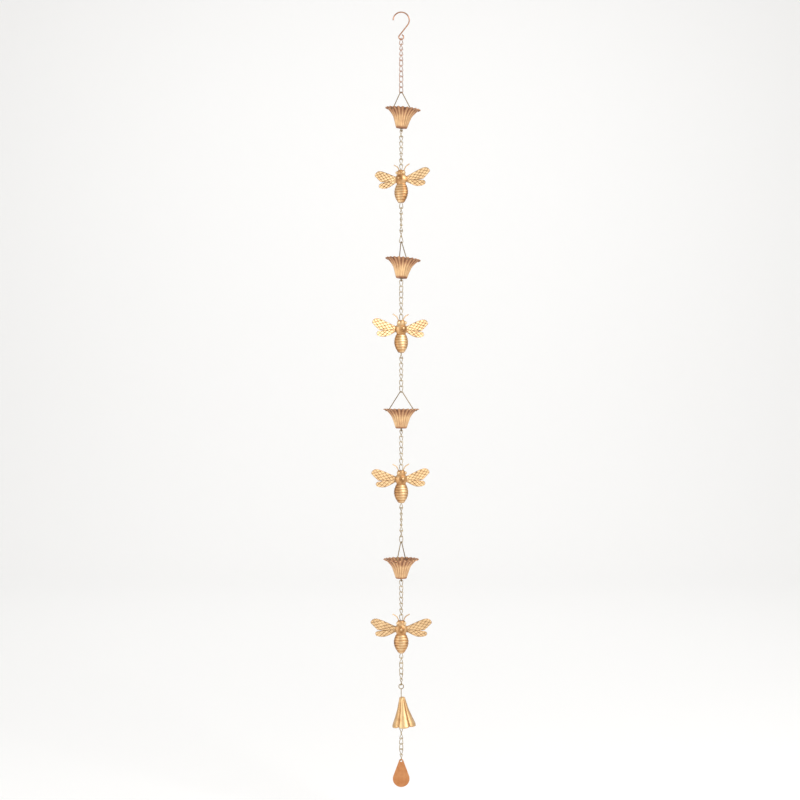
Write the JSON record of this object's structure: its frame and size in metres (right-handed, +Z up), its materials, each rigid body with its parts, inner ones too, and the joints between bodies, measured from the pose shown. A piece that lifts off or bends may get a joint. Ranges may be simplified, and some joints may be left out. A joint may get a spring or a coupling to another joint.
{
  "type": "rain chain",
  "caption": "Rain chain of twisted links, fluted cups on wire bails, pressed bees with veined wings, and a lobed bell whose clapper chain ends in a flat drop; hung by a wire hook.",
  "frame": {"origin": "inside top of the hook's bow, where it hangs on its support", "axes": "+Z up along the hanging chain, -Y towards the front, the side that the last bee's face shows"},
  "size_m": [0.147, 0.091, 1.8253],
  "materials": {
    "copper_wire": "dark copper plating, satin",
    "brass_wire": "antique brass plating, satin",
    "cup_sheet": "antique brass plating with a worn, patinated sheen",
    "bee_sheet": "antique gold plating, brushed back on the raised ribs",
    "wing_sheet": "antique gold plating, brushed back on the raised veins",
    "bell_sheet": "antique gold plating, satin",
    "drop_sheet": "copper plating, matt"
  },
  "bodies": {
    "hook": {"hook": "copper_wire"},
    "top_chain_1": {"top_chain_1": "copper_wire"},
    "top_chain_2": {"top_chain_2": "copper_wire"},
    "top_chain_3": {"top_chain_3": "copper_wire"},
    "cup_bail_1": {"cup_bail_1": "brass_wire"},
    "cup_1": {"cup_1": "cup_sheet", "cup_eye_1": "brass_wire"},
    "cup1_chain_1": {"cup1_chain_1": "brass_wire"},
    "cup1_chain_2": {"cup1_chain_2": "brass_wire"},
    "bee_1": {"bee_body_1": "bee_sheet", "bee_wings_1": "wing_sheet", "bee_rivet_1": "bee_sheet", "bee_antennae_1": "bee_sheet"},
    "bee1_chain_1": {"bee1_chain_1": "brass_wire"},
    "bee1_chain_2": {"bee1_chain_2": "brass_wire"},
    "cup_bail_2": {"cup_bail_2": "brass_wire"},
    "cup_2": {"cup_2": "cup_sheet", "cup_eye_2": "brass_wire"},
    "cup2_chain_1": {"cup2_chain_1": "brass_wire"},
    "cup2_chain_2": {"cup2_chain_2": "brass_wire"},
    "bee_2": {"bee_body_2": "bee_sheet", "bee_wings_2": "wing_sheet", "bee_rivet_2": "bee_sheet", "bee_antennae_2": "bee_sheet"},
    "bee2_chain_1": {"bee2_chain_1": "brass_wire"},
    "bee2_chain_2": {"bee2_chain_2": "brass_wire"},
    "cup_bail_3": {"cup_bail_3": "brass_wire"},
    "cup_3": {"cup_3": "cup_sheet", "cup_eye_3": "brass_wire"},
    "cup3_chain_1": {"cup3_chain_1": "brass_wire"},
    "cup3_chain_2": {"cup3_chain_2": "brass_wire"},
    "bee_3": {"bee_body_3": "bee_sheet", "bee_wings_3": "wing_sheet", "bee_rivet_3": "bee_sheet", "bee_antennae_3": "bee_sheet"},
    "bee3_chain_1": {"bee3_chain_1": "brass_wire"},
    "bee3_chain_2": {"bee3_chain_2": "brass_wire"},
    "cup_bail_4": {"cup_bail_4": "brass_wire"},
    "cup_4": {"cup_4": "cup_sheet", "cup_eye_4": "brass_wire"},
    "cup4_chain_1": {"cup4_chain_1": "brass_wire"},
    "cup4_chain_2": {"cup4_chain_2": "brass_wire"},
    "bee_4": {"bee_body_4": "bee_sheet", "bee_wings_4": "wing_sheet", "bee_rivet_4": "bee_sheet", "bee_antennae_4": "bee_sheet"},
    "bee4_chain_1": {"bee4_chain_1": "brass_wire"},
    "bee4_chain_2": {"bee4_chain_2": "brass_wire"},
    "bell": {"bell_pin": "brass_wire", "bell": "bell_sheet"},
    "clapper_chain_1": {"clapper_chain_1": "brass_wire"},
    "clapper_chain_2": {"clapper_chain_2": "brass_wire"},
    "clapper_chain_3": {"clapper_chain_3": "brass_wire"},
    "drop": {"drop": "drop_sheet"}
  },
  "joints": [
    {"name": "top_chain_1_swing", "type": "hinge", "parent": "hook", "child": "top_chain_1", "pos_m": [0, 0, -0.0628], "axis": [1, 0, 0], "range_deg": [-50, 50]},
    {"name": "top_chain_2_swing", "type": "hinge", "parent": "top_chain_1", "child": "top_chain_2", "pos_m": [0, 0, -0.11289], "axis": [-0.9596, 0.2812, 0], "range_deg": [-60, 60]},
    {"name": "top_chain_3_swing", "type": "hinge", "parent": "top_chain_2", "child": "top_chain_3", "pos_m": [0, 0, -0.15085], "axis": [0.8418, -0.5398, 0], "range_deg": [-60, 60]},
    {"name": "cup_bail_1_swing", "type": "hinge", "parent": "top_chain_3", "child": "cup_bail_1", "pos_m": [0, 0, -0.18879], "axis": [-0.6561, 0.7547, 0], "range_deg": [-45, 45]},
    {"name": "cup_1_swing", "type": "hinge", "parent": "cup_bail_1", "child": "cup_1", "pos_m": [0.0039, -0.00448, -0.231], "axis": [-0.7547, -0.6561, 0], "range_deg": [-50, 50]},
    {"name": "cup1_chain_1_swing", "type": "hinge", "parent": "cup_1", "child": "cup1_chain_1", "pos_m": [0, 0, -0.27918], "axis": [0.4384, 0.8988, 0], "range_deg": [-40, 40]},
    {"name": "cup1_chain_2_swing", "type": "hinge", "parent": "cup1_chain_1", "child": "cup1_chain_2", "pos_m": [0, 0, -0.33278], "axis": [-0.4384, -0.8988, 0], "range_deg": [-60, 60]},
    {"name": "bee_1_swing", "type": "hinge", "parent": "cup1_chain_2", "child": "bee_1", "pos_m": [0, 0, -0.37298], "axis": [0.4384, 0.8988, 0], "range_deg": [-15, 15]},
    {"name": "bee1_chain_1_swing", "type": "hinge", "parent": "bee_1", "child": "bee1_chain_1", "pos_m": [0, 0, -0.44508], "axis": [0.1937, 0.9811, 0], "range_deg": [-15, 15]},
    {"name": "bee1_chain_2_swing", "type": "hinge", "parent": "bee1_chain_1", "child": "bee1_chain_2", "pos_m": [0, 0, -0.50098], "axis": [0.9239, 0.3827, 0], "range_deg": [-60, 60]},
    {"name": "cup_bail_2_swing", "type": "hinge", "parent": "bee1_chain_2", "child": "cup_bail_2", "pos_m": [0, 0, -0.54118], "axis": [-0.9537, -0.3007, 0], "range_deg": [-45, 45]},
    {"name": "cup_2_swing", "type": "hinge", "parent": "cup_bail_2", "child": "cup_2", "pos_m": [0.00394, 0.00124, -0.58359], "axis": [0.3007, -0.9537, 0], "range_deg": [-50, 50]},
    {"name": "cup2_chain_1_swing", "type": "hinge", "parent": "cup_2", "child": "cup2_chain_1", "pos_m": [0, 0, -0.63196], "axis": [-0.342, 0.9397, 0], "range_deg": [-40, 40]},
    {"name": "cup2_chain_2_swing", "type": "hinge", "parent": "cup2_chain_1", "child": "cup2_chain_2", "pos_m": [0, 0, -0.68556], "axis": [0, 1, 0], "range_deg": [-60, 60]},
    {"name": "bee_2_swing", "type": "hinge", "parent": "cup2_chain_2", "child": "bee_2", "pos_m": [0, 0, -0.72576], "axis": [0.1507, -0.9886, 0], "range_deg": [-15, 15]},
    {"name": "bee2_chain_1_swing", "type": "hinge", "parent": "bee_2", "child": "bee2_chain_1", "pos_m": [0, 0, -0.79786], "axis": [0.6316, -0.7753, 0], "range_deg": [-15, 15]},
    {"name": "bee2_chain_2_swing", "type": "hinge", "parent": "bee2_chain_1", "child": "bee2_chain_2", "pos_m": [0, 0, -0.85376], "axis": [-0.284, -0.9588, 0], "range_deg": [-60, 60]},
    {"name": "cup_bail_3_swing", "type": "hinge", "parent": "bee2_chain_2", "child": "cup_bail_3", "pos_m": [0, 0, -0.89396], "axis": [0, 1, 0], "range_deg": [-45, 45]},
    {"name": "cup_3_swing", "type": "hinge", "parent": "cup_bail_3", "child": "cup_3", "pos_m": [0, 0, -0.93656], "axis": [1, 0, 0], "range_deg": [-50, 50]},
    {"name": "cup3_chain_1_swing", "type": "hinge", "parent": "cup_3", "child": "cup3_chain_1", "pos_m": [0, 0, -0.98511], "axis": [-0.2588, -0.9659, 0], "range_deg": [-40, 40]},
    {"name": "cup3_chain_2_swing", "type": "hinge", "parent": "cup3_chain_1", "child": "cup3_chain_2", "pos_m": [0, 0, -1.03871], "axis": [0.2588, 0.9659, 0], "range_deg": [-60, 60]},
    {"name": "bee_3_swing", "type": "hinge", "parent": "cup3_chain_2", "child": "bee_3", "pos_m": [0, 0, -1.07891], "axis": [0.1219, -0.9925, 0], "range_deg": [-15, 15]},
    {"name": "bee3_chain_1_swing", "type": "hinge", "parent": "bee_3", "child": "bee3_chain_1", "pos_m": [0, 0, -1.15101], "axis": [0.309, -0.9511, 0], "range_deg": [-15, 15]},
    {"name": "bee3_chain_2_swing", "type": "hinge", "parent": "bee3_chain_1", "child": "bee3_chain_2", "pos_m": [0, 0, -1.20691], "axis": [-0.887, -0.4617, 0], "range_deg": [-60, 60]},
    {"name": "cup_bail_4_swing", "type": "hinge", "parent": "bee3_chain_2", "child": "cup_bail_4", "pos_m": [0, 0, -1.24711], "axis": [-0.9397, 0.342, 0], "range_deg": [-45, 45]},
    {"name": "cup_4_swing", "type": "hinge", "parent": "cup_bail_4", "child": "cup_4", "pos_m": [0, 0, -1.28971], "axis": [0.342, 0.9397, 0], "range_deg": [-50, 50]},
    {"name": "cup4_chain_1_swing", "type": "hinge", "parent": "cup_4", "child": "cup4_chain_1", "pos_m": [0, 0, -1.33826], "axis": [0.2588, -0.9659, 0], "range_deg": [-40, 40]},
    {"name": "cup4_chain_2_swing", "type": "hinge", "parent": "cup4_chain_1", "child": "cup4_chain_2", "pos_m": [0, 0, -1.39186], "axis": [0.1305, 0.9914, 0], "range_deg": [-60, 60]},
    {"name": "bee_4_swing", "type": "hinge", "parent": "cup4_chain_2", "child": "bee_4", "pos_m": [0, 0, -1.43206], "axis": [-0.0087, -1, 0], "range_deg": [-15, 15]},
    {"name": "bee4_chain_1_swing", "type": "hinge", "parent": "bee_4", "child": "bee4_chain_1", "pos_m": [0, 0, -1.50416], "axis": [0, -1, 0], "range_deg": [-15, 15]},
    {"name": "bee4_chain_2_swing", "type": "hinge", "parent": "bee4_chain_1", "child": "bee4_chain_2", "pos_m": [0, 0, -1.54441], "axis": [0.8829, -0.4695, 0], "range_deg": [-60, 60]},
    {"name": "bell_swing", "type": "hinge", "parent": "bee4_chain_2", "child": "bell", "pos_m": [0, 0, -1.58236], "axis": [0, -1, 0], "range_deg": [-45, 45]},
    {"name": "clapper_chain_1_swing", "type": "hinge", "parent": "bell", "child": "clapper_chain_1", "pos_m": [0, 0, -1.62051], "axis": [-1, 0, 0], "range_deg": [-12, 12]},
    {"name": "clapper_chain_2_swing", "type": "hinge", "parent": "clapper_chain_1", "child": "clapper_chain_2", "pos_m": [0, 0, -1.68376], "axis": [-0.2419, 0.9703, 0], "range_deg": [-45, 45]},
    {"name": "clapper_chain_3_swing", "type": "hinge", "parent": "clapper_chain_2", "child": "clapper_chain_3", "pos_m": [0, 0, -1.72171], "axis": [-0.9744, -0.225, 0], "range_deg": [-60, 60]},
    {"name": "drop_swing", "type": "hinge", "parent": "clapper_chain_3", "child": "drop", "pos_m": [0, 0, -1.75966], "axis": [0, 1, 0], "range_deg": [-45, 45]}
  ]
}
